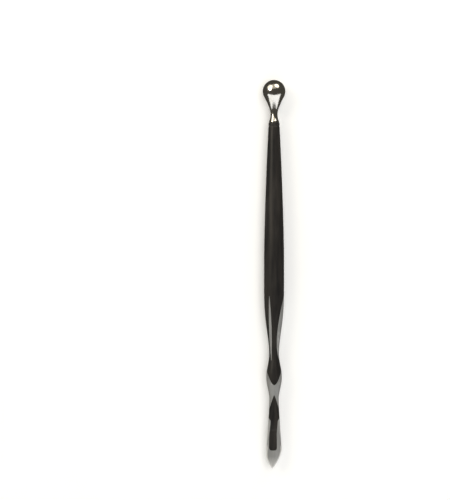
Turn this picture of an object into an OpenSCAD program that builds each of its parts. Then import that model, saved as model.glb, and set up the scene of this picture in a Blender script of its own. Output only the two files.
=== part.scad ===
// Double-ended clay shaper tool, in millimetres.
// A plated ball stylus is pressed into one end of a hard plastic handle core. The other end
// of the core is a leaf-shaped blade. A soft sleeve and a soft pad are moulded over the core.
// Every "_at" value is a distance from the blade tip, measured along the tool.

/* [Overall] */
// Length from the blade tip to the far side of the ball
tool_length = 206; // [205:1:215]
// Where the handle ends and the bare metal starts
handle_end_at = 183.5; // [178:0.5:184]

/* [Ball stylus] */
// Radius of the ball
ball_radius = 6; // [4.5:0.1:6]
// Half angle of the cone under the ball
cone_angle = 25; // [22:1:30]
// Radius of the narrowest place between cone and handle
stem_radius = 1.85; // [1.6:0.05:2]
// Radius of the concave sweep that forms that narrow place
stem_sweep = 9; // [8:0.5:9]
// Radius of the foot that seats on the handle
foot_radius = 2.65; // [2.4:0.05:2.7]
// Radius of the shank inside the handle
shank_radius = 1.2; // [1:0.05:1.3]
// Length of the shank inside the handle
shank_length = 24; // [15:1:30]

/* [Handle] */
// Radius of the handle at its metal end
top_radius = 2.85; // [2.8:0.05:3.2]
// Radius of the handle at its belly
belly_radius = 5.3; // [4.8:0.1:6]
// Lower end of the straight belly
belly_at = 99; // [96:1:102]
// Length of the straight belly
belly_length = 12; // [8:1:16]
// How late the taper above the belly gathers speed
taper_power = 1.5; // [1.2:0.1:2]
// How late the fall below the belly gathers speed
belly_fullness = 1.6; // [1.2:0.1:1.8]
// Place of the waist that the fingers close on
waist_at = 61; // [60:0.5:63]
// Radius of that waist
waist_radius = 2.6; // [2.4:0.1:3]
// Place of the bulge below the waist
bulge_at = 48.5; // [47:0.5:50]
// Radius of the bulge
bulge_radius = 4.1; // [3.8:0.1:4.3]
// Place of the round neck above the blade
neck_at = 36.5; // [36:0.5:38]
// Radius of that neck
neck_radius = 2.45; // [2.3:0.05:2.7]

/* [Blade] */
// Width across the blade's shoulders
blade_width = 8.2; // [8:0.1:9]
// Thickness of the blade at its tip
tip_thickness = 0.9; // [0.8:0.1:1.2]
// Thickness that the blade's wedge would have at the neck
wedge_thickness = 5.4; // [5.2:0.1:5.8]
// Radius of the blade's slightly domed faces
face_radius = 13.6; // [12:0.2:16]
// How far the tip stands off the axis
tip_offset = 0.9; // [0.5:0.1:1.2]
// Place of the shoulder on the side that the tip leans to
near_shoulder_at = 6.5; // [6:0.5:7.5]
// Place of the shoulder on the other side
far_shoulder_at = 10; // [9:0.5:11]
// Radius of the edge below the near shoulder
near_edge_radius = 13; // [11:1:16]
// Radius of the edge below the far shoulder
far_edge_radius = 22; // [20:1:26]
// Angle between the bevel and the blade's flat plane
bevel_angle = 35; // [30:1:45]
// Thickness left at the bevelled edge
edge_thickness = 0.24; // [0.2:0.02:0.4]

/* [Soft sleeve] */
// Thickness of the sleeve
sleeve_wall = 0.9; // [0.7:0.05:1]
// Place of the rounded tongue that ends the sleeve on each face
sleeve_tongue_at = 44.5; // [44:0.5:45]
// Place where the tongues' outline would be wider than the bulge
sleeve_side_at = 54; // [53:0.5:55]
// Lower end of the windows that show the core
window_at = 57; // [56.5:0.5:58]
// Upper end of the windows
window_top_at = 92; // [88:0.5:94]
// Half width of the slender window on the side that the tip leans to
slit_half = 0.62; // [0.4:0.02:0.8]
// How far the slender window's two ends stand off the axis
slit_foot = 1.5; // [1.4:0.05:1.7]
slit_head = 2.7; // [2.4:0.05:3]
// How near the wide window on the other side comes to the axis, and where
side_window_depth = 1.45; // [1.3:0.05:1.7]
side_window_at = 68; // [66:0.5:70]
// Radius of the cross keys that lock the sleeve to the core
key_radius = 0.9; // [0.6:0.1:1.2]

/* [Soft blade pad] */
// Thickness of the pad
pad_wall = 0.5; // [0.4:0.05:0.6]
// Place of the pad's pointed top
pad_top_at = 39.2; // [38.5:0.1:39.5]
// Place of the pad's squared end
pad_end_at = 9.7; // [9:0.1:11]
// Half width of the pad at the end of its strip
pad_strip_half = 2.25; // [2:0.05:2.5]
// How far the strip leans to the side of the tip
pad_lean = 0.65; // [0:0.05:0.9]

/* [Hidden] */
$fn = 96;

// Room round the handle for shapes that cut right through it
reach = 12;
// A cutting shape runs this far past what it cuts
over = 1;

// Key holes lie between the belly and the shank's socket
key_places = [112, 128, 144];
socket_gap = 0.02;
shank_chamfer = 0.4;

// The cone leaves the ball where both have the same slope, less a hair to keep a clean seam
seam_step = 0.04;
ball_at = tool_length - ball_radius;
cone_top = [ball_radius * cos(cone_angle) - seam_step, ball_at - ball_radius * sin(cone_angle)];
cone_foot_radius = stem_radius + stem_sweep * (1 - cos(cone_angle));
cone_foot_at = cone_top.y - (cone_top.x - cone_foot_radius) / tan(cone_angle);
stem_at = cone_foot_at - stem_sweep * sin(cone_angle);
stem_centre = [stem_radius + stem_sweep, stem_at];
foot_angle = acos((stem_centre.x - foot_radius) / stem_sweep);

// The blade's faces spread evenly from the tip to the neck
blade_half = blade_width / 2;
wedge_angle = atan((wedge_thickness - tip_thickness) / 2 / neck_at);
// The blade's corners are rounded off between the neck and here
corner_at = 22;
corner_radius = 4.8;
// The flat sides leave the neck a little outside its round
side_clear = 0.15;
// The bevels' double cone stands this high on each side of the blade
bevel_height = 4;
// The bevels run this far past the shoulders, and start this far outside the blade's sides
bevel_run = 0.6;
bevel_start = 0.06;

// The pad wraps the blade between its pointed top and its strip
pad_wrap_half = 3.3;
pad_wrap_at = [28, 29.2];
pad_strip_at = 25;
pad_strip_narrow = 1.95;
pad_corner = 1.2;
pad_arch_power = 0.8;
// The strip's lean grows from nothing to all of it between these places
pad_lean_at = [26, 17];

// The tongue's outline, and the two windows' outlines above and below their widest place
tongue_power = 0.55;
slit_power = 0.8;
side_window_head = [5.4, 1.6];
side_window_foot = [3.1, 3];

// 0 to 1 with a level start and end
function swell(u) = (1 - cos(180 * u)) / 2;

// Points of a circular arc in the plane
function arc(centre, radius, from, to, steps) = [
  for (i = [0 : steps])
    let (a = from + (to - from) * i / steps)
    centre + radius * [cos(a), sin(a)]
];

// A radius that swells from one station up to, but not including, the next
function run(a, b, power, steps) = [
  for (i = [0 : steps - 1])
    let (u = i / steps)
    [a.x + (b.x - a.x) * swell(pow(u, power)), a.y + (b.y - a.y) * u]
];

// Centre of the circle of a given radius through two points, on the left of the way from a to b
function arc_centre(a, b, radius) =
  let (half = norm(b - a) / 2, along = (b - a) / norm(b - a))
  (a + b) / 2 + [-along.y, along.x] * sqrt(radius * radius - half * half);

function mirrored(points) = [for (i = [len(points) - 1 : -1 : 0]) [-points[i].x, points[i].y]];

// The handle's outline from its metal end down to the neck, as [radius, place]
belly_top_at = belly_at + belly_length;
taper_steps = 14;
handle_line = concat(
  [for (i = [0 : taper_steps - 1])
    let (u = 1 - i / taper_steps)
    [belly_radius - (belly_radius - top_radius) * pow(u, taper_power),
     belly_top_at + (handle_end_at - belly_top_at) * u]],
  [[belly_radius, belly_top_at]],
  run([belly_radius, belly_at], [waist_radius, waist_at], belly_fullness, 12),
  run([waist_radius, waist_at], [bulge_radius, bulge_at], 1, 8),
  run([bulge_radius, bulge_at], [neck_radius, neck_at], 1, 8),
  [[neck_radius, neck_at]]
);

// The round limit of the blade's section, from the neck to past the tip
corner_line = concat(
  run([neck_radius, neck_at], [corner_radius, corner_at], 1, 8),
  [[corner_radius, corner_at], [corner_radius, -over]]
);

// Lays a shape drawn along Z, from the tip upwards, along Y with the ball on z = 0
module lay() {
  translate([0, -tool_length / 2, ball_radius])
    rotate([-90, 0, 0])
      children();
}

// A shape drawn as [side, place] and cut through the tool from front to back
module through(points) {
  rotate([90, 0, 0])
    linear_extrude(2 * reach, center = true)
      polygon(points);
}

// A solid of revolution from a line of [radius, place] running downwards, drawn in by inset
module turned(line, inset) {
  rotate_extrude()
    polygon(concat(
      [[0, line[len(line) - 1].y], [0, line[0].y]],
      [for (p = line) [p.x - inset, p.y]]
    ));
}

// One domed face of the blade, as the big cylinder that it belongs to
module blade_face(inset) {
  translate([0, tip_thickness / 2 - inset - face_radius, 0])
    rotate([-wedge_angle, 0, 0])
      translate([0, 0, -over])
        cylinder(h = neck_at + 2 * over, r = face_radius);
}

// The blade before its point is shaped
module blade_blank(inset) {
  half = blade_half - inset;
  neck_half = neck_radius + side_clear - inset;
  intersection() {
    turned(corner_line, inset);
    through([
      [-half, -over], [half, -over], [half, far_shoulder_at],
      [neck_half, neck_at], [-neck_half, neck_at], [-half, near_shoulder_at]
    ]);
    blade_face(inset);
    mirror([0, 1, 0]) blade_face(inset);
  }
}

// Everything outside a round, bevelled edge that runs between two points of the outline
module outside_edge(shoulder, tip, centre, radius) {
  land = edge_thickness / 2;
  rim = radius - (bevel_height - land) / tan(bevel_angle);
  difference() {
    translate([-reach, -bevel_height + over / 2, tip.y - 2 * over])
      cube([2 * reach, 2 * bevel_height - over, shoulder.y - tip.y + 2 * over + bevel_run]);
    translate([centre.x, 0, centre.y])
      rotate([90, 0, 0])
        rotate_extrude()
          polygon([
            [0, -bevel_height], [rim, -bevel_height], [radius, -land],
            [radius, land], [rim, bevel_height], [0, bevel_height]
          ]);
  }
}

// The blade with its leaning, bevelled point
module blade(inset) {
  tip = [-tip_offset, 0];
  near = [-blade_half - bevel_start, near_shoulder_at];
  far = [blade_half + bevel_start, far_shoulder_at];
  difference() {
    difference() {
      blade_blank(inset);
      outside_edge(far, tip, arc_centre(tip, far, far_edge_radius), far_edge_radius);
    }
    outside_edge(near, tip, arc_centre(near, tip, near_edge_radius), near_edge_radius);
  }
}

// The whole handle and blade, drawn in by inset
module envelope(inset) {
  turned(handle_line, inset);
  blade(inset);
}

// Outlines of the two windows as [side, place]: a slender one, and a wide one open to the side
slit = [
  for (edge = [-1, 1], i = [0 : 12])
    let (u = edge < 0 ? i / 12 : 1 - i / 12)
    [-(slit_foot + (slit_head - slit_foot) * u) + edge * slit_half * pow(sin(180 * u), slit_power),
     window_at + (window_top_at - window_at) * u]
];
side_window = concat(
  [[reach, window_at]],
  [for (i = [0 : 10])
    let (u = 1 - i / 10)
    [side_window_depth + (side_window_foot[0] - side_window_depth) * pow(u, side_window_foot[1]),
     side_window_at - (side_window_at - window_at) * u]],
  [for (i = [1 : 14])
    let (u = i / 14)
    [side_window_depth + (side_window_head[0] - side_window_depth) * pow(u, side_window_head[1]),
     side_window_at + (window_top_at - side_window_at) * u]],
  [[reach, window_top_at]]
);

// The windows in the sleeve, cut from front to back
module windows() {
  through(slit);
  through(side_window);
}

// Pins of soft plastic that fill holes right through the core
module keys() {
  for (place = key_places)
    translate([0, 0, place])
      rotate([90, 0, 0])
        cylinder(h = 2 * belly_radius - sleeve_wall, r = key_radius, center = true);
}

// The space that the sleeve takes, running past the outside of the handle
module sleeve_space() {
  steps = 10;
  rise = sleeve_side_at - sleeve_tongue_at;
  side_reach = bulge_radius + over / 2;
  tongue = [
    for (i = [0 : steps])
      let (u = i / steps)
      [side_reach * pow(u, tongue_power), sleeve_tongue_at + rise * u]
  ];
  outline = concat(tongue, [[reach, sleeve_side_at], [reach, handle_end_at + over]]);
  difference() {
    through(concat(outline, mirrored(outline)));
    turned(handle_line, sleeve_wall);
    windows();
  }
  keys();
}

// How far the pad's middle stands off the axis
function pad_shift(place) =
  -pad_lean * swell(max(min((pad_lean_at[0] - place) / (pad_lean_at[0] - pad_lean_at[1]), 1), 0));

// The space that the blade pad takes, running past the outside of the blade
module pad_space() {
  steps = 10;
  strip_end = arc([pad_strip_half - pad_corner, pad_end_at + pad_corner], pad_corner, -90, 0, 6);
  strip = run([pad_strip_half, pad_end_at + pad_corner], [pad_strip_narrow, pad_strip_at], 1, 8);
  flare = run([pad_strip_narrow, pad_strip_at], [pad_wrap_half, pad_wrap_at[0]], 1, 6);
  arch = [
    for (i = [0 : steps])
      let (u = 1 - i / steps)
      [pad_wrap_half * pow(u, pad_arch_power),
       pad_top_at - (pad_top_at - pad_wrap_at[1]) * u]
  ];
  outline = concat(
    strip_end, [for (i = [1 : len(strip) - 1]) strip[i]], flare,
    [[pad_wrap_half, pad_wrap_at[0]]], arch
  );
  difference() {
    through([for (p = concat(outline, mirrored(outline))) [p.x + pad_shift(p.y), p.y]]);
    envelope(pad_wall);
  }
}

// The metal part: shank, foot, narrow stem, cone and ball
module stylus() {
  shank_end_at = handle_end_at - shank_length;
  color("antiquewhite")
    lay() {
      translate([0, 0, ball_at]) sphere(r = ball_radius);
      rotate_extrude()
        polygon(concat(
          [[0, shank_end_at], [shank_radius - shank_chamfer, shank_end_at],
           [shank_radius, shank_end_at + shank_chamfer], [shank_radius, handle_end_at],
           [foot_radius, handle_end_at]],
          arc(stem_centre, stem_sweep, 180 + foot_angle, 180 - cone_angle, 12),
          [cone_top, [0, cone_top.y]]
        ));
    }
}

// The hard plastic part that carries everything and ends in the blade
module handle_core() {
  color("darkgray")
    lay()
      difference() {
        envelope(0);
        sleeve_space();
        pad_space();
        translate([0, 0, handle_end_at - shank_length - over])
          cylinder(h = shank_length + 2 * over, r = shank_radius + socket_gap);
      }
}

// The soft sleeve over the handle
module grip_sleeve() {
  color([0.16, 0.16, 0.16])
    lay()
      intersection() {
        turned(handle_line, 0);
        sleeve_space();
      }
}

// The soft pad round the top of the blade and down both of its faces
module blade_pad() {
  color([0.16, 0.16, 0.16])
    lay()
      intersection() {
        envelope(0);
        pad_space();
      }
}

stylus();
handle_core();
grip_sleeve();
blade_pad();
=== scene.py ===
"""Looks for a double-ended clay shaper tool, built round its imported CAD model.

Sizes are in millimetres and angles in degrees, as in the part's own source. A place is a distance
from the blade tip along the tool, and a side angle runs from the middle of the top face towards +X.
"""

import math
from collections import namedtuple

import bmesh
import bpy
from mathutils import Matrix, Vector


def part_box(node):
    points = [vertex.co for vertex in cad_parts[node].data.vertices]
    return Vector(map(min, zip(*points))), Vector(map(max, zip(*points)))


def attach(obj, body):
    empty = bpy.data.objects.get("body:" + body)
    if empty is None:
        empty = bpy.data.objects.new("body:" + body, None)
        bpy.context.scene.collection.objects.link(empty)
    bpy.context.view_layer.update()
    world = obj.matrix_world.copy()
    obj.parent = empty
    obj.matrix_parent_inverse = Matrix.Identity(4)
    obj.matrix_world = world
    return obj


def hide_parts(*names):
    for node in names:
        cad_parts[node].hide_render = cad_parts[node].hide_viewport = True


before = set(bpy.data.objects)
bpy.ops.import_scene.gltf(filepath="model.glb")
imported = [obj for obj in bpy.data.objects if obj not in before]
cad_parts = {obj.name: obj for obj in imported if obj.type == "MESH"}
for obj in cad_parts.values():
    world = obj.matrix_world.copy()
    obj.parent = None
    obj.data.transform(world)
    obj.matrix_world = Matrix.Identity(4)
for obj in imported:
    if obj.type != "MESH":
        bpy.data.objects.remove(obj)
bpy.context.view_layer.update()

MM = 0.001

# The handle, as the part's source names it
HANDLE_END_AT = 183.5
TOP_RADIUS = 2.85
BELLY_RADIUS = 5.3
BELLY_AT = 99.0
BELLY_TOP_AT = 111.0
TAPER_POWER = 1.5
BELLY_FULLNESS = 1.6
WAIST_AT = 61.0
WAIST_RADIUS = 2.6
BULGE_AT = 48.5
BULGE_RADIUS = 4.1
NECK_AT = 36.5
NECK_RADIUS = 2.45

# The blade
BLADE_HALF = 4.1
TIP_OFFSET = 0.9
TIP_HALF = 0.45
WEDGE_TOP_HALF = 2.7
WEDGE_SLOPE = (WEDGE_TOP_HALF - TIP_HALF) / NECK_AT
FACE_RADIUS = 13.6
NEAR_SHOULDER_AT = 6.5
FAR_SHOULDER_AT = 10.0
NEAR_EDGE_RADIUS = 13.0
FAR_EDGE_RADIUS = 22.0
BEVEL_SLOPE = math.tan(math.radians(35))
EDGE_HALF = 0.12
BEVEL_FADE = (10.0, 14.0)
BEVEL_LINE_USUAL = 72.0
BEVEL_LINE_LIMITS = (8.0, 84.0)
BEVEL_LINE_HURRY = 1.6
SPREAD_POWER = 1.25
FLAT_AT = 22.0
THIN_AT = 12.0
ROUND_EXPONENT = 2.0
SOFT_EXPONENT = 8.0
SHARP_EXPONENT = 60.0
SHOULDER_BLEND = 0.25
FACE_BLEND = 0.6

# The soft sleeve and its windows
SLEEVE_WALL = 0.9
TONGUE_AT = 44.5
SIDE_AT = 54.0
TONGUE_POWER = 0.55
TONGUE_REACH = BULGE_RADIUS + 0.5
WINDOW_AT = 57.0
WINDOW_TOP_AT = 92.0
SLIT_HALF = 0.62
SLIT_FOOT = 1.5
SLIT_HEAD = 2.7
SLIT_POWER = 0.8
SIDE_WINDOW_DEPTH = 1.45
SIDE_WINDOW_AT = 68.0
SIDE_WINDOW_HEAD = (5.4, 1.6)
SIDE_WINDOW_FOOT = (3.1, 3.0)
SOFT_EDGE = 0.24
OPEN_GAP = 0.4
BEAD_AT = 181.6
BEAD_GROOVE = 0.20
BEAD_GROOVE_HALF = 0.45
RIM_RADIUS = 0.3

# The soft blade pad
PAD_WALL = 0.5
PAD_TOP_AT = 39.2
PAD_ARCH_AT = 29.2
PAD_WRAP_AT = 28.0
PAD_WRAP_HALF = 3.3
PAD_ARCH_POWER = 0.8
PAD_STRIP_AT = 25.0
PAD_NARROW = 1.95
PAD_STEP_AT = 20.5
PAD_FULL_AT = 11.6
PAD_FULL_HALF = 2.25
PAD_END_AT = 9.7
PAD_END_POWER = 3.2
PAD_LEAN = 0.65
PAD_LEAN_AT = (26.0, 17.0)
PAD_CREASE = 0.16
PAD_CREASE_HALF = 0.3
PAD_STEP_DEPTH = 0.06
PAD_STEP_RUN = 0.6
PAD_SPLIT_SHARE = 0.6

# The stylus
BALL_RADIUS = 6.0
CONE_ANGLE = 25.0
STEM_RADIUS = 1.85
STEM_SWEEP = 9.0
HOLLOW_LEAN = 20.0
FOOT_RADIUS = 2.65
FOOT_CHAMFER = 0.12
SHANK_RADIUS = 1.2
SHANK_LENGTH = 24.0
SHANK_CHAMFER = 0.4
SOCKET_RADIUS = 1.22
SOCKET_SPARE = 1.0

# Mesh fineness
FACE_COLUMNS = 30
FLANK_COLUMNS = 12
WINDOW_COLUMNS = 6
SIDE_COLUMNS = 14
EDGE_COLUMNS = 8
TURNED_COLUMNS = 128
SWEEP_STEPS = 32
HOLLOW_STEPS = 20
BALL_STEPS = 56
BISECTIONS = 40
CLOSED = 1e-6
WELD = 0.0004
SHARP_ANGLE = 38.0
FADE_WIDTH = 0.1

TIP_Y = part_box("handle_core")[0].y / MM
AXIS_Z = (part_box("stylus")[0].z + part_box("stylus")[1].z) / 2 / MM
BALL_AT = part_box("stylus")[1].y / MM - TIP_Y - BALL_RADIUS


# ---------------------------------------------------------------- shape of the tool

def lerp(a, b, u):
    return a + (b - a) * u


def clamp(u):
    return min(max(u, 0.0), 1.0)


def swell(u):
    """0 to 1 with a level start and end."""
    return (1 - math.cos(math.pi * clamp(u))) / 2


def smooth_min(a, b, width):
    """The smaller of two values, with the corner between them rounded off over a width."""
    if width <= 0:
        return min(a, b)
    h = max(width - abs(a - b), 0.0) / width
    return min(a, b) - h * h * width / 4


def handle_radius(t):
    """Radius of the round part of the tool, from its neck up."""
    if t >= BELLY_TOP_AT:
        u = (t - BELLY_TOP_AT) / (HANDLE_END_AT - BELLY_TOP_AT)
        return BELLY_RADIUS - (BELLY_RADIUS - TOP_RADIUS) * u ** TAPER_POWER
    if t >= BELLY_AT:
        return BELLY_RADIUS
    if t >= WAIST_AT:
        u = (BELLY_AT - t) / (BELLY_AT - WAIST_AT)
        return lerp(BELLY_RADIUS, WAIST_RADIUS, swell(u ** BELLY_FULLNESS))
    if t >= BULGE_AT:
        return lerp(WAIST_RADIUS, BULGE_RADIUS, swell((WAIST_AT - t) / (WAIST_AT - BULGE_AT)))
    return lerp(BULGE_RADIUS, NECK_RADIUS, swell((BULGE_AT - t) / (BULGE_AT - NECK_AT)))


def arc_centre(a, b, radius):
    """Centre of the circle through two points, on the left of the way from a to b."""
    half = (b - a).length / 2
    along = (b - a).normalized()
    return (a + b) / 2 + Vector((-along.y, along.x)) * math.sqrt(radius ** 2 - half ** 2)


TIP = Vector((-TIP_OFFSET, 0.0))
FAR_CENTRE = arc_centre(TIP, Vector((BLADE_HALF, FAR_SHOULDER_AT)), FAR_EDGE_RADIUS)
NEAR_CENTRE = arc_centre(Vector((-BLADE_HALF, NEAR_SHOULDER_AT)), TIP, NEAR_EDGE_RADIUS)


def blade_side(t):
    """Half width of the blade where its sides are nearly straight."""
    u = clamp((NECK_AT - t) / (NECK_AT - FAR_SHOULDER_AT))
    return lerp(NECK_RADIUS, BLADE_HALF, u ** SPREAD_POWER)


def blade_edges(t):
    """The blade's left and right outline."""
    side = blade_side(t)
    left, right = side, side
    if t < FAR_CENTRE.y:
        reach = math.sqrt(max(FAR_EDGE_RADIUS ** 2 - (t - FAR_CENTRE.y) ** 2, 0.0))
        right = smooth_min(side, FAR_CENTRE.x + reach, SHOULDER_BLEND * clamp(t))
    if t < NEAR_CENTRE.y:
        reach = math.sqrt(max(NEAR_EDGE_RADIUS ** 2 - (t - NEAR_CENTRE.y) ** 2, 0.0))
        left = smooth_min(side, reach - NEAR_CENTRE.x, SHOULDER_BLEND * clamp(t))
    return -left, right


# What a blade section needs: centre, half width, half thickness, dome, roundness and bevels
Profile = namedtuple("Profile", "centre half thick dome power leans land fade")


def blade_profile(t):
    """The blade's section at a place."""
    left, right = blade_edges(t)
    centre, half = (left + right) / 2, max((right - left) / 2, CLOSED)
    blend = FACE_BLEND * clamp((NECK_AT - t) / 3)
    thick = smooth_min(NECK_RADIUS, TIP_HALF + WEDGE_SLOPE * t, blend)
    flat = swell((NECK_AT - t) / (NECK_AT - FLAT_AT))
    thin = swell((FLAT_AT - t) / (FLAT_AT - THIN_AT))
    dome = flat * half ** 2 / (2 * FACE_RADIUS) / thick
    power = (ROUND_EXPONENT + (SOFT_EXPONENT - ROUND_EXPONENT) * flat ** 2
             + (SHARP_EXPONENT - SOFT_EXPONENT) * thin ** 2)
    step = 0.02
    low, high = blade_edges(max(t - step, 0.0)), blade_edges(t + step)
    run = t + step - max(t - step, 0.0)
    leans = [math.cos(math.atan(abs(h - l) / run)) for l, h in zip(low, high)]
    fade = clamp((BEVEL_FADE[1] - t) / (BEVEL_FADE[1] - BEVEL_FADE[0]))
    land = lerp(thick * (1 - dome), EDGE_HALF, swell(fade))
    return Profile(centre, half, thick, dome, power, leans, land, fade)


def face_height(s, profile):
    """Half thickness of the blade at a side place s from -1 to 1, before its rounded edge."""
    height = profile.thick * (1 - profile.dome * s * s)
    if profile.fade > 0:
        lean = profile.leans[1] if s > 0 else profile.leans[0]
        height = min(height, profile.land + (1 - abs(s)) * profile.half * lean * BEVEL_SLOPE)
    return height


def section(t, angle, depth=0.0):
    """(x, z) on the outside of the tool, sunk by depth."""
    turn = math.radians(angle)
    s, up = math.sin(turn), math.cos(turn)
    if t >= NECK_AT:
        radius = handle_radius(t) - depth
        return radius * s, radius * up
    profile = blade_profile(t)
    height = face_height(s, profile) * math.sqrt(max(1 - abs(s) ** profile.power, 0.0))
    height *= (profile.thick - depth) / profile.thick
    return profile.centre + (profile.half - depth) * s, math.copysign(height, up)


def bevel_angle(t, side):
    """Side angle of the line between the blade's face and its bevel, or a usual place above them."""
    if t >= BEVEL_FADE[1]:
        return BEVEL_LINE_USUAL
    profile = blade_profile(t)
    slope = profile.half * profile.leans[1 if side > 0 else 0] * BEVEL_SLOPE
    low, high = 0.0, 1.0
    for _ in range(BISECTIONS):
        mid = (low + high) / 2
        if profile.land + (1 - mid) * slope > profile.thick * (1 - profile.dome * mid * mid):
            low = mid
        else:
            high = mid
    narrowest, widest = BEVEL_LINE_LIMITS
    line = min(max(math.degrees(math.asin(low)), narrowest), widest)
    return lerp(BEVEL_LINE_USUAL, line, swell(profile.fade * BEVEL_LINE_HURRY))


# ---------------------------------------------------------------- where the soft parts lie

def window_edges(t):
    """Side places of the sleeve's bare edges: the slender window's two, and the wide one's inner edge.

    Outside the windows the slender one is closed and the wide one's edge lies beyond the handle.
    """
    if not WINDOW_AT <= t <= WINDOW_TOP_AT:
        closed = SLIT_FOOT if t < WINDOW_AT else SLIT_HEAD
        return (closed, closed), BELLY_RADIUS + 1
    u = (t - WINDOW_AT) / (WINDOW_TOP_AT - WINDOW_AT)
    middle = lerp(SLIT_FOOT, SLIT_HEAD, u)
    half = SLIT_HALF * max(math.sin(math.pi * u), 0.0) ** SLIT_POWER
    if t > SIDE_WINDOW_AT:
        side, power = SIDE_WINDOW_HEAD
        run = (t - SIDE_WINDOW_AT) / (WINDOW_TOP_AT - SIDE_WINDOW_AT)
    else:
        side, power = SIDE_WINDOW_FOOT
        run = (SIDE_WINDOW_AT - t) / (SIDE_WINDOW_AT - WINDOW_AT)
    return (middle - half, middle + half), lerp(SIDE_WINDOW_DEPTH, side, run ** power)


def pad_half(t):
    """Half width of the blade pad, seen from above."""
    if t > PAD_ARCH_AT:
        return PAD_WRAP_HALF * clamp((PAD_TOP_AT - t) / (PAD_TOP_AT - PAD_ARCH_AT)) ** PAD_ARCH_POWER
    if t > PAD_WRAP_AT:
        return PAD_WRAP_HALF
    if t > PAD_STRIP_AT:
        return lerp(PAD_NARROW, PAD_WRAP_HALF, swell((t - PAD_STRIP_AT) / (PAD_WRAP_AT - PAD_STRIP_AT)))
    if t > PAD_FULL_AT:
        return lerp(PAD_NARROW, PAD_FULL_HALF, swell((PAD_STRIP_AT - t) / (PAD_STRIP_AT - PAD_FULL_AT)))
    u = clamp((PAD_FULL_AT - t) / (PAD_FULL_AT - PAD_END_AT))
    return PAD_FULL_HALF * (1 - u ** PAD_END_POWER) ** (1 / PAD_END_POWER)


def side_angle(side, across):
    """Side angle of a place at a given distance from the middle."""
    return math.degrees(math.asin(min(max(side / across, -1.0), 1.0)))


def layout(t):
    """The soft stretches and the bare gaps round the tool at a place, as lists of (from, to) angles.

    The stretches are the top face, the two flanks on its +X side, the bottom face and the two
    flanks on the -X side. The wide window leaves nothing of the first two flanks.
    """
    left = right = slit_in = slit_out = 0.0
    if t >= TONGUE_AT:
        radius = handle_radius(t)
        edge = side_angle(tongue_half(t), radius) if t < SIDE_AT else 90.0
        slit, side = window_edges(t)
        left, right = edge, min(side_angle(side, radius), edge)
        slit_in, slit_out = (min(side_angle(x, radius), edge) for x in slit)
    elif PAD_END_AT < t < PAD_TOP_AT:
        middle, across = blade_profile(t)[:2] if t < NECK_AT else (0.0, handle_radius(t))
        share = clamp((PAD_LEAN_AT[0] - t) / (PAD_LEAN_AT[0] - PAD_LEAN_AT[1]))
        shift = -PAD_LEAN * swell(share) - middle
        left = side_angle(pad_half(t) - shift, across)
        right = side_angle(pad_half(t) + shift, across)
        slit_in = slit_out = left * PAD_SPLIT_SHARE
    soft = [(-slit_in, right), (right, right), (180 - right, 180 - right),
            (180 - right, 180 + slit_in), (180 + slit_out, 180 + left), (360 - left, 360 - slit_out)]
    bare = [(soft[i][1], soft[(i + 1) % 6][0] + (360 if i == 5 else 0)) for i in range(6)]
    return soft, bare


def arc_length(t, a, b):
    """Straight distance between two side angles at a place."""
    xa, za = section(t, a)
    xb, zb = section(t, b)
    return math.hypot(xb - xa, zb - za)


def edge_drop(t, angle, bare):
    """How far the soft plastic's rounded edge drops at an angle, from the bare gaps beside it."""
    drop = 0.0
    for start, end in bare:
        opening = clamp(arc_length(t, start, end) / OPEN_GAP)
        if end - start <= CLOSED or opening <= 0:
            continue
        for edge in (start, end):
            away = abs((angle - edge + 180) % 360 - 180)
            gap = arc_length(t, angle, angle + away) if away < 90 else SOFT_EDGE
            if gap < SOFT_EDGE:
                curve = SOFT_EDGE - math.sqrt(SOFT_EDGE ** 2 - (SOFT_EDGE - gap) ** 2)
                drop = max(drop, opening * curve)
    return drop


# ---------------------------------------------------------------- rows and columns of the meshes

def even(a, b, steps):
    """Values from a towards b, without b."""
    return [lerp(a, b, i / steps) for i in range(steps)]


def meet(half, across, inside, outside):
    """The place between two others where an outline's half width reaches the tool's own."""
    for _ in range(BISECTIONS):
        mid = (inside + outside) / 2
        if half(mid) < across(mid):
            inside = mid
        else:
            outside = mid
    return outside


def fan(place, direction):
    """Rows that crowd towards a place where an outline leaves the tool's side."""
    return [place + direction * d for d in (0.0, 0.008, 0.03, 0.07, 0.14, 0.25, 0.4, 0.6, 0.85)]


def downwards(rows):
    """Places from the metal end to the tip, each once."""
    return sorted({round(t, 4) for t in rows}, reverse=True)


def tongue_half(t):
    """Half width of the sleeve's tongue, seen from above."""
    return TONGUE_REACH * clamp((t - TONGUE_AT) / (SIDE_AT - TONGUE_AT)) ** TONGUE_POWER


def sleeve_rows():
    """Places of the sleeve's rows, from the metal end down to the tongues."""
    tips = (0.0, 0.06, 0.25, 0.6, 1.1, 1.8, 2.6)
    widest = WINDOW_TOP_AT - 3.0
    rows = [HANDLE_END_AT - RIM_RADIUS * (1 - math.cos(math.radians(a))) for a in (0, 25, 50, 75, 90)]
    above, over, under, below = (BEAD_AT + d for d in (1.3, 0.35, -0.35, -2.1))
    rows += even(above, over, 4) + even(over, under, 8) + even(under, below, 4)
    rows += even(below, BELLY_TOP_AT, 36) + even(BELLY_TOP_AT, BELLY_AT, 5)
    rows += even(BELLY_AT, WINDOW_TOP_AT, 7) + [WINDOW_TOP_AT - d for d in tips]
    rows += even(WINDOW_TOP_AT - tips[-1], WINDOW_AT + tips[-1], 46)
    rows += [WINDOW_AT + d for d in tips] + even(WINDOW_AT, TONGUE_AT, 24)
    rows += fan(meet(lambda t: window_edges(t)[1], handle_radius, widest, WINDOW_TOP_AT), -1)
    rows += fan(meet(lambda t: window_edges(t)[1], handle_radius, SIDE_WINDOW_AT, WINDOW_AT), 1)
    rows += fan(meet(tongue_half, handle_radius, TONGUE_AT + 1, SIDE_AT), -1)
    rows += [TONGUE_AT + 2.0 * (i / 16) ** 2 for i in range(17)]
    return downwards(rows)


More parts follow.
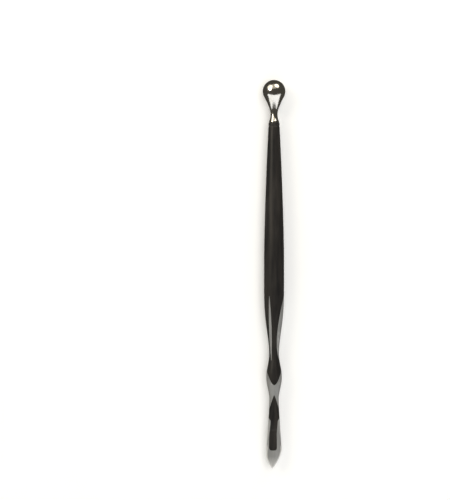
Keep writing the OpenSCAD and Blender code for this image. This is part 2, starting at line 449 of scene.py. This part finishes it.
def pad_rows():
    """Places of the blade pad's rows, from its pointed top to its squared end."""
    rows = [PAD_TOP_AT - (PAD_TOP_AT - PAD_ARCH_AT) * (i / 30) ** 1.4 for i in range(30)]
    rows += even(PAD_ARCH_AT, PAD_WRAP_AT, 5) + even(PAD_WRAP_AT, PAD_STRIP_AT, 12)
    over, under = PAD_STEP_AT + 0.4, PAD_STEP_AT - 0.4
    rows += even(PAD_STRIP_AT, over, 10) + even(over, under, 8) + even(under, PAD_FULL_AT, 18)
    rows += fan(meet(pad_half, tool_half, PAD_TOP_AT - 1, PAD_ARCH_AT), 1)
    rows += fan(meet(pad_half, tool_half, PAD_STRIP_AT, PAD_WRAP_AT), -1)
    steps = 18
    for i in range(steps + 1):
        u = math.sin(math.radians(90 * i / steps)) ** (2 / PAD_END_POWER)
        rows.append(PAD_FULL_AT - (PAD_FULL_AT - PAD_END_AT) * u)
    return downwards(rows)


def tool_half(t):
    """Half width of the tool."""
    return handle_radius(t) if t >= NECK_AT else blade_profile(t).half


def core_rows():
    """Places of the core's rows: the soft parts' own rows, and the bare stretches between them."""
    rows = sleeve_rows() + even(TONGUE_AT, PAD_TOP_AT, 12) + pad_rows()
    return downwards(rows + [PAD_END_AT * (1 - i / 40) ** 1.6 for i in range(1, 41)])


def soft_angles(t, start, end, columns):
    """Column angles across a soft stretch, close together at its rounded edges."""
    span = end - start
    if span <= CLOSED:
        return [start] * (columns + 1)
    width = max(arc_length(t, start, start + min(span, 60)) * max(span / 60, 1.0), CLOSED)
    share = min(SOFT_EDGE / width, 0.2)
    marks = [0.0, share * 0.12, share * 0.42, share]
    inner = columns - 6
    marks += [lerp(share, 1 - share, i / inner) for i in range(1, inner)]
    marks += [1 - m for m in reversed(marks[:4])]
    return [start + span * m for m in marks]


def stretch_columns(index):
    """Columns across a soft stretch. The first and the fourth are faces and the others flanks."""
    return FACE_COLUMNS if index % 3 == 0 else FLANK_COLUMNS


def bare_angles(t, index, start, end):
    """Column angles across a bare gap. The two side gaps keep a column on each bevel line."""
    if index % 3 != 1:
        return [lerp(start, end, i / WINDOW_COLUMNS) for i in range(WINDOW_COLUMNS + 1)]
    middle = (start + end) / 2
    reach = (end - start) / 2
    line = bevel_angle(t, 1 if index == 1 else -1)
    split = min(90 - line, reach * 0.6)
    marks = even(start, middle - split, SIDE_COLUMNS) + even(middle - split, middle, EDGE_COLUMNS)
    return marks + [middle] + [2 * middle - m for m in reversed(marks)]


def put(x, t, z):
    """A point of the standing drawing as a place in the model's frame, in metres."""
    return Vector((x, TIP_Y + t, AXIS_Z + z)) * MM


def soft_surface(t, angle, bare, shape):
    """(x, z) on the outside of a soft part, with its rounded edges and its own grooves."""
    return section(t, angle, edge_drop(t, angle, bare) + shape(t))


def sleeve_shape(t):
    """How far the sleeve's outside lies below the plain handle: the rim and the bead's groove."""
    drop = 0.0
    rim = HANDLE_END_AT - RIM_RADIUS
    if t > rim:
        drop = RIM_RADIUS - math.sqrt(max(RIM_RADIUS ** 2 - (t - rim) ** 2, 0.0))
    off = abs(t - BEAD_AT) / BEAD_GROOVE_HALF
    if off < 1:
        drop += BEAD_GROOVE * swell(1 - off)
    return drop


def pad_shape(t):
    """How far the pad's outside lies below the plain blade: the crease and the step at its strip."""
    off = abs(t - PAD_STEP_AT) / PAD_CREASE_HALF
    crease = PAD_CREASE * swell(1 - off) if off < 1 else 0.0
    return crease + PAD_STEP_DEPTH * swell((PAD_STEP_AT - t) / PAD_STEP_RUN)


# ---------------------------------------------------------------- building the meshes

def finish_mesh(name, bm):
    """Welds, cleans and smooths a bmesh, and makes it a piece that rides with the tool."""
    bmesh.ops.remove_doubles(bm, verts=bm.verts, dist=WELD * MM)
    bmesh.ops.dissolve_degenerate(bm, edges=bm.edges, dist=WELD * MM)
    loose = [v for v in bm.verts if not v.link_faces]
    bmesh.ops.delete(bm, geom=loose, context="VERTS")
    bmesh.ops.recalc_face_normals(bm, faces=bm.faces)
    for face in bm.faces:
        face.smooth = True
    for edge in bm.edges:
        if len(edge.link_faces) == 2 and edge.calc_face_angle(0.0) > math.radians(SHARP_ANGLE):
            edge.smooth = False
    mesh = bpy.data.meshes.new(name)
    bm.to_mesh(mesh)
    bm.free()
    piece = bpy.data.objects.new(name, mesh)
    bpy.context.scene.collection.objects.link(piece)
    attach(piece, "root")
    return piece


def add_face(bm, corners):
    """A face from its corners, leaving out corners that repeat. A face that is there already stays."""
    kept = [c for i, c in enumerate(corners) if c is not corners[i - 1]]
    if len(set(kept)) >= 3 and bm.faces.get(kept) is None:
        bm.faces.new(kept)


def bridge(bm, first, second, closed=False):
    """Quads between two rows of corners."""
    count = len(first) if closed else len(first) - 1
    for i in range(count):
        j = (i + 1) % len(first)
        add_face(bm, [first[i], first[j], second[j], second[i]])


def soft_part(name, rows, wall, shape, rim=False):
    """A closed soft moulding: outside, inside, and a wall wherever a bare gap is open."""
    bm = bmesh.new()
    outer, inner, gaps = [], [], []
    for t in rows:
        soft, bare = layout(t)
        outside, inside = [], []
        for i, (start, end) in enumerate(soft):
            angles = soft_angles(t, start, end, stretch_columns(i))
            outside.append([])
            inside.append([])
            for angle in angles:
                x, z = soft_surface(t, angle, bare, shape)
                outside[-1].append(bm.verts.new(put(x, t, z)))
                x, z = section(t, angle, wall)
                inside[-1].append(bm.verts.new(put(x, t, z)))
        outer.append(outside)
        inner.append(inside)
        gaps.append([end - start > CLOSED for start, end in bare])
    for r in range(len(rows) - 1):
        for i in range(6):
            bridge(bm, outer[r][i], outer[r + 1][i])
            bridge(bm, inner[r + 1][i], inner[r][i])
            for gap, column in ((i, -1), ((i - 1) % 6, 0)):
                if gaps[r][gap] or gaps[r + 1][gap]:
                    side = [outer[r][i][column], outer[r + 1][i][column]]
                    add_face(bm, side + [inner[r + 1][i][column], inner[r][i][column]])
    if rim:
        for i in range(6):
            bridge(bm, outer[0][i], inner[0][i])
    return finish_mesh(name, bm)


def core_ring(t):
    """Columns of the core at a place, as (angle, depth): sunk under soft parts, flush in bare gaps."""
    soft, bare = layout(t)
    wall = SLEEVE_WALL if t > PAD_TOP_AT else PAD_WALL
    base = wall * clamp(arc_length(t, *soft[0]) / FADE_WIDTH)
    rise = [1 - clamp(arc_length(t, *gap) / FADE_WIDTH) for gap in bare]
    ring = []
    for i in range(6):
        share = max(clamp(arc_length(t, *soft[i]) / FADE_WIDTH), min(rise[i - 1], rise[i]))
        ring += [(angle, base * share) for angle in soft_angles(t, *soft[i], stretch_columns(i))]
        ring += [(angle, base * rise[i]) for angle in bare_angles(t, i, *bare[i])]
    return ring


def handle_core_piece():
    """The hard core: sunk under the soft parts, flush in the windows and bare stretches."""
    bm = bmesh.new()
    rows = core_rows()
    rings = []
    for t in rows:
        ring = core_ring(t)
        if t <= 0:
            ends = [bm.verts.new(put(TIP.x, 0, z)) for z in (EDGE_HALF, -EDGE_HALF)]
            rings.append([ends[0] if math.cos(math.radians(angle)) > 0 else ends[1] for angle, _ in ring])
            continue
        corners = []
        for angle, depth in ring:
            x, z = section(t, angle, depth)
            corners.append(bm.verts.new(put(x, t, z)))
        rings.append(corners)
    for first, second in zip(rings, rings[1:]):
        bridge(bm, first, second, closed=True)
    spread = [math.radians(angle) for angle, _ in core_ring(rows[0])]
    floor_at = HANDLE_END_AT - SHANK_LENGTH - SOCKET_SPARE
    mouth, base = [
        [bm.verts.new(put(SOCKET_RADIUS * math.sin(a), t, SOCKET_RADIUS * math.cos(a))) for a in spread]
        for t in (rows[0], floor_at)]
    bridge(bm, mouth, rings[0], closed=True)
    bridge(bm, base, mouth, closed=True)
    bridge(bm, [bm.verts.new(put(0, floor_at, 0))] * len(base), base, closed=True)
    return finish_mesh("handle_core_moulding", bm)


def stylus_line():
    """Outline of the stylus as (radius, place), from the end of its shank to the top of its ball.

    The CAD cone is straight. Here it is a shallow hollow that touches the stem's sweep and the ball.
    The straight cone only sets where the sweep is centred.
    """
    lean = math.radians(CONE_ANGLE)
    cone_top = (BALL_RADIUS * math.cos(lean), BALL_AT - BALL_RADIUS * math.sin(lean))
    cone_foot = STEM_RADIUS + STEM_SWEEP * (1 - math.cos(lean))
    foot_at = cone_top[1] - (cone_top[0] - cone_foot) / math.tan(lean)
    centre = (STEM_RADIUS + STEM_SWEEP, foot_at - STEM_SWEEP * math.sin(lean))
    start = math.acos((centre[0] - FOOT_RADIUS) / STEM_SWEEP)
    low = math.radians(HOLLOW_LEAN)
    low_end = (centre[0] - STEM_SWEEP * math.cos(low), centre[1] + STEM_SWEEP * math.sin(low))
    below = low_end[1] - BALL_AT
    hollow = BALL_RADIUS ** 2 - low_end[0] ** 2 - below ** 2
    hollow /= 2 * (low_end[0] * math.cos(low) - below * math.sin(low) - BALL_RADIUS)
    hub = (low_end[0] + hollow * math.cos(low), low_end[1] - hollow * math.sin(low))
    high = math.asin((BALL_AT - hub[1]) / (hollow + BALL_RADIUS))
    shank_end = HANDLE_END_AT - SHANK_LENGTH
    line = [(0, shank_end), (SHANK_RADIUS - SHANK_CHAMFER, shank_end),
            (SHANK_RADIUS, shank_end + SHANK_CHAMFER), (SHANK_RADIUS, HANDLE_END_AT),
            (FOOT_RADIUS - FOOT_CHAMFER, HANDLE_END_AT), (FOOT_RADIUS, HANDLE_END_AT + FOOT_CHAMFER)]
    for i in range(SWEEP_STEPS + 1):
        a = lerp(math.pi + start, math.pi - low, i / SWEEP_STEPS)
        line.append((centre[0] + STEM_SWEEP * math.cos(a), centre[1] + STEM_SWEEP * math.sin(a)))
    for i in range(1, HOLLOW_STEPS):
        a = math.pi - lerp(low, high, i / HOLLOW_STEPS)
        line.append((hub[0] + hollow * math.cos(a), hub[1] + hollow * math.sin(a)))
    for i in range(BALL_STEPS + 1):
        a = lerp(-high, math.pi / 2, i / BALL_STEPS)
        across = BALL_RADIUS * math.cos(a) if i < BALL_STEPS else 0.0
        line.append((across, BALL_AT + BALL_RADIUS * math.sin(a)))
    return line


def stylus_piece():
    """The turned metal end, spun from its outline."""
    bm = bmesh.new()
    rings = []
    for radius, t in stylus_line():
        if radius <= 0:
            rings.append([bm.verts.new(put(0, t, 0))] * TURNED_COLUMNS)
            continue
        turns = [math.tau * i / TURNED_COLUMNS for i in range(TURNED_COLUMNS)]
        rings.append([bm.verts.new(put(radius * math.sin(a), t, radius * math.cos(a))) for a in turns])
    for first, second in zip(rings, rings[1:]):
        bridge(bm, first, second, closed=True)
    return finish_mesh("ball_stylus", bm)


# ---------------------------------------------------------------- materials

class Nodes:
    """A material's node tree, with short ways to add and join nodes."""

    def __init__(self, name):
        self.material = bpy.data.materials.new(name)
        self.material.use_nodes = True
        self.tree = self.material.node_tree
        self.shader = self.tree.nodes["Principled BSDF"]

    def add(self, kind, **settings):
        node = self.tree.nodes.new(kind)
        for key, value in settings.items():
            setattr(node, key, value)
        return node

    def join(self, source, target):
        self.tree.links.new(source, target)

    def places(self, stretch=(1, 1, 1)):
        """Object coordinates, squeezed or stretched along the axes."""
        mapping = self.add("ShaderNodeMapping")
        mapping.inputs["Scale"].default_value = stretch
        self.join(self.add("ShaderNodeTexCoord").outputs["Object"], mapping.inputs["Vector"])
        return mapping.outputs["Vector"]

    def noise(self, size, detail=3.0, rough=0.5, stretch=(1, 1, 1)):
        """Noise whose features are about size millimetres across."""
        node = self.add("ShaderNodeTexNoise")
        node.inputs["Scale"].default_value = 1 / (size * MM)
        node.inputs["Detail"].default_value = detail
        node.inputs["Roughness"].default_value = rough
        self.join(self.places(stretch), node.inputs["Vector"])
        return node.outputs["Fac"]

    def spread(self, value, low, high, out_low, out_high):
        """Maps a value's range onto another, held at both ends."""
        node = self.add("ShaderNodeMapRange")
        node.inputs["From Min"].default_value = low
        node.inputs["From Max"].default_value = high
        node.inputs["To Min"].default_value = out_low
        node.inputs["To Max"].default_value = out_high
        self.join(value, node.inputs["Value"])
        return node.outputs["Result"]

    def math(self, operation, first, second):
        node = self.add("ShaderNodeMath", operation=operation)
        for socket, value in zip(node.inputs, (first, second)):
            if isinstance(value, (int, float)):
                socket.default_value = value
            else:
                self.join(value, socket)
        return node.outputs["Value"]

    def blend(self, share, first, second):
        """Colour between two, by a share."""
        node = self.add("ShaderNodeMix", data_type="RGBA")
        self.join(share, node.inputs["Factor"])
        for name, value in (("A", first), ("B", second)):
            socket = [s for s in node.inputs if s.name == name and s.type == "RGBA"][0]
            if isinstance(value, tuple):
                socket.default_value = (*value, 1)
            else:
                self.join(value, socket)
        return [s for s in node.outputs if s.type == "RGBA"][0]

    def bump(self, height, depth, strength=1.0, under=None):
        """A bump of some depth in millimetres, laid over an earlier one."""
        node = self.add("ShaderNodeBump")
        node.inputs["Strength"].default_value = strength
        node.inputs["Distance"].default_value = depth * MM
        self.join(height, node.inputs["Height"])
        if under is not None:
            self.join(under, node.inputs["Normal"])
        return node.outputs["Normal"]

    def edge_wear(self, low=0.5, high=0.6):
        """How exposed an edge is, from 0 to 1."""
        return self.spread(self.add("ShaderNodeNewGeometry").outputs["Pointiness"], low, high, 0, 1)

    def along(self, first, second, out_first, out_second):
        """Maps the way between two places along the tool onto a range, held at both ends."""
        split = self.add("ShaderNodeSeparateXYZ")
        self.join(self.places(), split.inputs["Vector"])
        low, high = (TIP_Y + first) * MM, (TIP_Y + second) * MM
        return self.spread(split.outputs["Y"], low, high, out_first, out_second)

    def parting_line(self, reach):
        """1 on the mould's parting plane, fading to 0 at a reach in millimetres on each side."""
        split = self.add("ShaderNodeSeparateXYZ")
        self.join(self.places(), split.inputs["Vector"])
        away = self.math("ABSOLUTE", self.math("SUBTRACT", split.outputs["Z"], AXIS_Z * MM), 0.0)
        return self.spread(away, 0, reach * MM, 1, 0)


RUBBER_DARK = (0.0080, 0.0076, 0.0078)
RUBBER_LIGHT = (0.0270, 0.0235, 0.0205)
RUBBER_DUST = (0.045, 0.042, 0.038)
PLASTIC_DARK = (0.190, 0.190, 0.186)
PLASTIC_LIGHT = (0.285, 0.284, 0.276)
# Near-white grey of the painted highlight on the blade's bevels and tip
PLASTIC_PAINTED_HIGHLIGHT = (0.68, 0.67, 0.65)
PLASTIC_WORN = (0.42, 0.415, 0.40)
METAL_BRIGHT = (0.88, 0.86, 0.82)
METAL_WARM = (0.78, 0.74, 0.66)
METAL_DULL = (0.58, 0.54, 0.46)
FLOOR_DIM = (0.86, 0.86, 0.86)
FLOOR_PALE = (0.90, 0.90, 0.895)

# Places between which the plastic's painted highlight on the blade's bevels and tip fades
BEVEL_HIGHLIGHT_STRONG = (8.0, 16.0)
BEVEL_HIGHLIGHT_END = (24.0, 30.0)
TIP_HIGHLIGHT_SPAN = (0.5, 6.5)


def black_rubber():
    """Matt soft moulding with a fine spark-eroded texture, faint mottling and dust in its grain."""
    n = Nodes("black_rubber")
    cloud = n.noise(2.6, 5.0, 0.60, (1, 0.10, 1))
    grain = n.noise(0.16, 2.0, 0.6)
    rub = n.noise(2.2, 5.0, 0.62, (1, 0.3, 1))
    colour = n.blend(n.spread(cloud, 0.35, 0.65, 0, 1), RUBBER_DARK, RUBBER_LIGHT)
    specks = n.spread(n.noise(0.5, 2.0, 0.7), 0.66, 0.78, 0, 0.30)
    colour = n.blend(specks, colour, RUBBER_DUST)
    colour = n.blend(n.math("MULTIPLY", n.edge_wear(0.505, 0.56), 0.35), colour, RUBBER_DUST)
    n.join(colour, n.shader.inputs["Base Color"])
    n.join(n.spread(rub, 0.3, 0.7, 0.34, 0.47), n.shader.inputs["Roughness"])
    n.shader.inputs["Specular IOR Level"].default_value = 0.42
    n.shader.inputs["Sheen Weight"].default_value = 0.03
    n.shader.inputs["Sheen Roughness"].default_value = 0.55
    ripple = n.bump(n.noise(5.0, 2.0, 0.5, (1, 0.6, 1)), 0.05, 0.5)
    seam = n.bump(n.parting_line(0.09), 0.03, 0.7, ripple)
    n.join(n.bump(grain, 0.012, 0.55, seam), n.shader.inputs["Normal"])
    return n.material


def grey_plastic():
    """Satin grey plastic with flow marks, a parting line, fine scuffs, lighter worn edges, and a painted
    highlight on the blade's bevels and tip.
    """
    n = Nodes("grey_plastic")
    flow = n.noise(5.0, 5.0, 0.6, (1, 0.25, 1))
    grain = n.noise(0.12, 2.0, 0.6)
    scuff = n.noise(0.35, 3.0, 0.7, (1, 0.06, 1))
    colour = n.blend(n.spread(flow, 0.3, 0.7, 0, 1), PLASTIC_DARK, PLASTIC_LIGHT)
    colour = n.blend(n.spread(scuff, 0.60, 0.76, 0, 0.30), colour, PLASTIC_WORN)
    colour = n.blend(n.math("MULTIPLY", n.edge_wear(0.51, 0.60), 0.8), colour, PLASTIC_WORN)
    # Painted highlight: blade faces that slope away from straight up (the bevels and sides) are lightened
    # towards a near-white grey. It fades out along the blade and stands in for the bevels catching the
    # light.
    split = n.add("ShaderNodeSeparateXYZ")
    n.join(n.add("ShaderNodeNewGeometry").outputs["Normal"], split.inputs["Vector"])
    sloped = n.spread(n.math("ABSOLUTE", split.outputs["Z"], 0), 0.80, 0.94, 1, 0)
    on_blade = n.along(*BEVEL_HIGHLIGHT_STRONG, 1.0, 0.35)
    bevels = n.math("MULTIPLY", n.math("MULTIPLY", sloped, on_blade), n.spread(scuff, 0.3, 0.6, 0.75, 1))
    ahead = n.along(*BEVEL_HIGHLIGHT_END, 1, 0)
    colour = n.blend(n.math("MULTIPLY", bevels, ahead), colour, PLASTIC_PAINTED_HIGHLIGHT)
    # Painted highlight: the last few millimetres of the blade tip are lightened in patches towards the
    # same near-white grey. This stands in for the light caught by the tip's bevels.
    tip_highlight = n.along(*TIP_HIGHLIGHT_SPAN, 0.80, 0)
    rubbed = n.spread(scuff, 0.3, 0.6, 0.5, 1)
    colour = n.blend(n.math("MULTIPLY", tip_highlight, rubbed), colour, PLASTIC_PAINTED_HIGHLIGHT)
    n.join(colour, n.shader.inputs["Base Color"])
    gloss = n.noise(1.4, 4.0, 0.65, (1, 0.4, 1))
    n.join(n.spread(gloss, 0.3, 0.7, 0.30, 0.44), n.shader.inputs["Roughness"])
    n.shader.inputs["Specular IOR Level"].default_value = 0.85
    n.shader.inputs["Subsurface Weight"].default_value = 0.06
    n.shader.inputs["Subsurface Radius"].default_value = (0.6, 0.6, 0.55)
    n.shader.inputs["Subsurface Scale"].default_value = 0.8 * MM
    waves = n.bump(n.noise(3.0, 2.0, 0.5, (1, 0.5, 1)), 0.03, 0.4)
    seam = n.bump(n.parting_line(0.07), 0.03, 0.8, waves)
    scratches = n.bump(scuff, 0.006, 0.5, seam)
    n.join(n.bump(grain, 0.006, 0.45, scratches), n.shader.inputs["Normal"])
    return n.material


def plated_metal():
    """Warm nickel plate with turning marks, hairline scratches and duller, rubbed patches."""
    n = Nodes("plated_metal")
    patches = n.noise(3.5, 4.0, 0.6)
    turning = n.noise(0.10, 2.0, 0.6, (0.02, 1, 0.02))
    hairs = n.noise(0.22, 2.0, 0.75, (1, 0.10, 1))
    colour = n.blend(n.spread(patches, 0.35, 0.7, 0, 0.7), METAL_BRIGHT, METAL_WARM)
    colour = n.blend(n.spread(hairs, 0.68, 0.80, 0, 0.35), colour, METAL_DULL)
    n.join(colour, n.shader.inputs["Base Color"])
    n.shader.inputs["Metallic"].default_value = 1.0
    n.join(n.spread(patches, 0.3, 0.75, 0.13, 0.22), n.shader.inputs["Roughness"])
    n.shader.inputs["Anisotropic"].default_value = 0.15
    lathe = n.bump(turning, 0.0012, 0.35)
    n.join(n.bump(hairs, 0.0008, 0.3, lathe), n.shader.inputs["Normal"])
    return n.material


def pale_floor():
    """Smooth, very faintly mottled white card."""
    n = Nodes("pale_floor")
    cloud = n.noise(60.0, 3.0, 0.5)
    n.join(n.blend(cloud, FLOOR_DIM, FLOOR_PALE), n.shader.inputs["Base Color"])
    n.shader.inputs["Emission Color"].default_value = (1.0, 1.0, 0.99, 1.0)
    n.shader.inputs["Emission Strength"].default_value = 0.15
    n.join(n.spread(cloud, 0.3, 0.7, 0.55, 0.65), n.shader.inputs["Roughness"])
    n.join(n.bump(n.noise(0.6, 2.0, 0.5), 0.01, 0.3), n.shader.inputs["Normal"])
    return n.material


# ---------------------------------------------------------------- pieces

PIECES = {
    "handle_core": (handle_core_piece(), grey_plastic()),
    "grip_sleeve": (soft_part("grip_sleeve_moulding", sleeve_rows(), SLEEVE_WALL, sleeve_shape,
                              rim=True), black_rubber()),
    "stylus": (stylus_piece(), plated_metal()),
}
PIECES["blade_pad"] = (soft_part("blade_pad_moulding", pad_rows(), PAD_WALL, pad_shape),
                       PIECES["grip_sleeve"][1])
for node, (piece, material) in PIECES.items():
    piece.data.materials.append(material)
    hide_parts(node)


# ---------------------------------------------------------------- floor, lights and camera

def flat_sheet(name, half):
    """A flat square sheet lying on z = 0."""
    bm = bmesh.new()
    bmesh.ops.create_grid(bm, x_segments=8, y_segments=8, size=half)
    mesh = bpy.data.meshes.new(name)
    bm.to_mesh(mesh)
    bm.free()
    sheet = bpy.data.objects.new(name, mesh)
    bpy.context.scene.collection.objects.link(sheet)
    return sheet


WHITE_LAMP = (1.0, 1.0, 1.0)
WARM_LAMP = (1.0, 0.93, 0.78)
DAY_LAMP = (0.97, 0.99, 1.0)
DIM_ROOM = (0.055, 0.052, 0.045, 1)


def softbox(name, direction, distance, size, power, tint, shape="ELLIPSE"):
    """A soft light that faces the tool from a direction, at a distance in metres."""
    data = bpy.data.lights.new(name, "AREA")
    data.shape = shape
    data.size, data.size_y = size
    data.energy = power
    data.color = tint
    lamp = bpy.data.objects.new(name, data)
    lamp.location = Vector(direction).normalized() * distance
    lamp.rotation_mode = "QUATERNION"
    lamp.rotation_quaternion = Vector(direction).to_track_quat("Z", "Y")
    bpy.context.scene.collection.objects.link(lamp)
    return lamp


floor = flat_sheet("floor", 2.0)
floor.data.materials.append(pale_floor())
# Reflections show the dim room in place of the floor, which keeps the ball's rim dark
floor.visible_glossy = False

softbox("softbox_left", (-0.60, 0.64, 0.49), 1.0, (0.85, 0.85), 2.2, WARM_LAMP)
softbox("softbox_right", (0.36, 0.80, 0.44), 1.0, (0.62, 0.60), 1.9, WARM_LAMP)
softbox("softbox_back", (-0.05, 0.72, 0.62), 1.25, (1.7, 1.1), 1.7, WARM_LAMP)
softbox("softbox_foot", (0.0, -0.90, 0.448), 1.0, (4.2, 0.93), 10.5, DAY_LAMP)
softbox("softbox_side", (-0.66, 0.36, 0.66), 1.0, (0.42, 0.50), 1.9, WARM_LAMP)
# The overhead fill lights the matt surfaces and the floor, and is kept out of the chrome
overhead = softbox("softbox_overhead", (0.20, 0.10, 1.0), 1.15, (0.9, 0.9), 8.4, WHITE_LAMP, "RECTANGLE")
overhead.visible_glossy = False

world = bpy.data.worlds.new("studio")
bpy.context.scene.world = world
world.use_nodes = True
world.node_tree.nodes["Background"].inputs["Color"].default_value = DIM_ROOM

FRAME_HEIGHT = 265.0
LENS = 120.0
SENSOR = 36.0
AIM = Vector((-26.0, 12.9, AXIS_Z))

camera_data = bpy.data.cameras.new("camera")
camera_data.lens = LENS
camera_data.sensor_width = SENSOR
camera = bpy.data.objects.new("camera", camera_data)
camera.location = (AIM + Vector((0, 0, FRAME_HEIGHT * LENS / SENSOR))) * MM
bpy.context.scene.collection.objects.link(camera)
bpy.context.scene.camera = camera
bpy.context.scene.view_settings.view_transform = "Standard"
